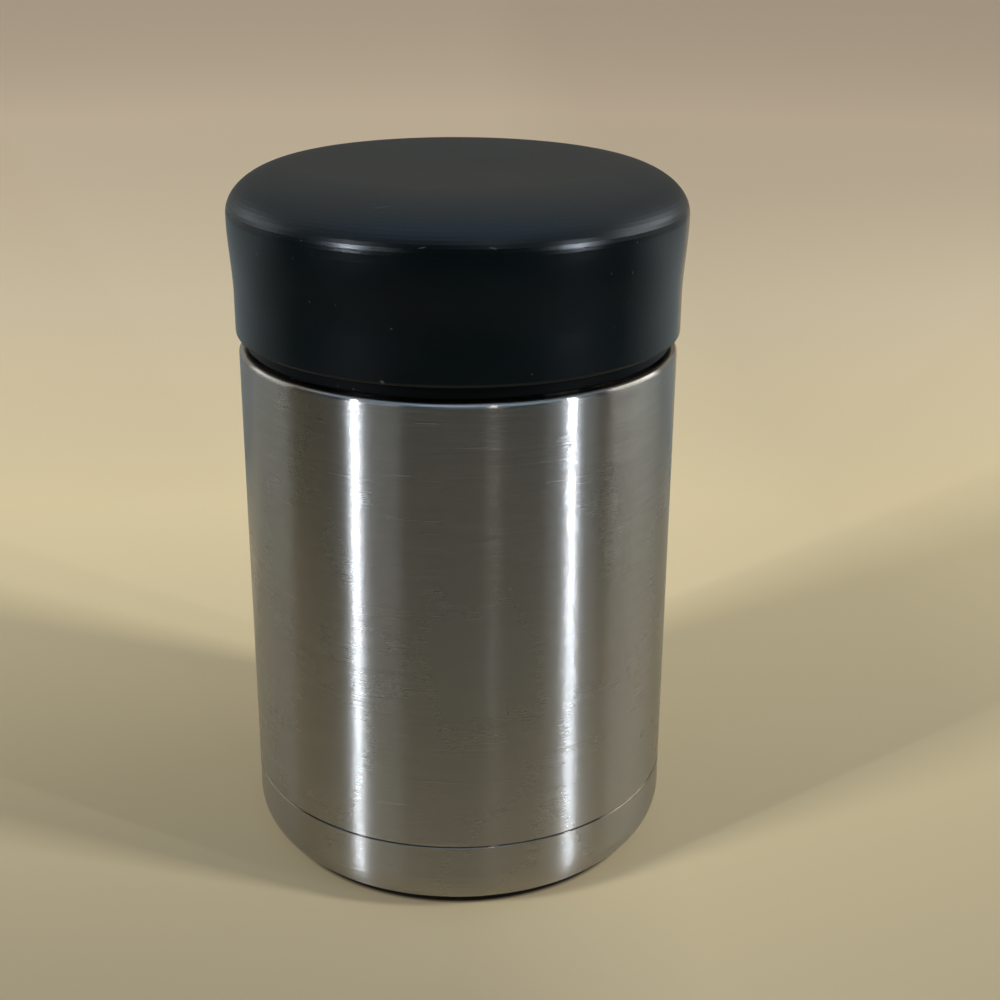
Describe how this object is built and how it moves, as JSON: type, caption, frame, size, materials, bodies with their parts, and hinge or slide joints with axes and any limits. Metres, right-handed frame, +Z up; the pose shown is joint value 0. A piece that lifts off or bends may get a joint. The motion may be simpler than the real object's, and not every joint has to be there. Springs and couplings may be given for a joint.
{
  "type": "insulated food container",
  "caption": "Round double-walled steel food jar with a wide mouth, a rounded base and a thick black screw lid with a shallow dished top.",
  "frame": {"origin": "on the jar's axis, in the plane of the foot ring that it stands on", "axes": "+Z up along the jar's axis; the jar is round, and -Y faces the side that the picture shows"},
  "size_m": [0.0968, 0.0968, 0.153],
  "materials": {
    "casing_steel": "satin",
    "vessel_steel": "satin",
    "black_plastic": "matte",
    "silicone": "matte",
    "foam": "matte",
    "foil": "satin",
    "getter": "matte",
    "seal_glass": "gloss"
  },
  "bodies": {
    "jar": {"outer_shell": "casing_steel", "outer_base": "casing_steel", "base_disc": "casing_steel", "vacuum_seal_bead": "seal_glass", "inner_liner": "vessel_steel", "liner_base": "vessel_steel", "reflective_foil": "foil", "getter_holder": "vessel_steel", "getter_pellet": "getter"},
    "lid_seal": {"lid_gasket": "silicone"},
    "lid": {"lid_cover": "black_plastic", "lid_liner": "black_plastic", "lid_insulation": "foam"}
  },
  "joints": [
    {"name": "lid_rise", "type": "slide", "parent": "jar", "child": "lid_seal", "axis": [0, 0, 1], "range_m": [0, 0.018]},
    {"name": "lid_turn", "type": "hinge", "parent": "lid_seal", "child": "lid", "pos_m": [0, 0, 0.13], "axis": [0, 0, 1], "range_deg": [0, 720]}
  ],
  "couplings": [
    {"joint": "lid_rise", "follows": "lid_turn", "m_per_rad": 0.0014323}
  ]
}
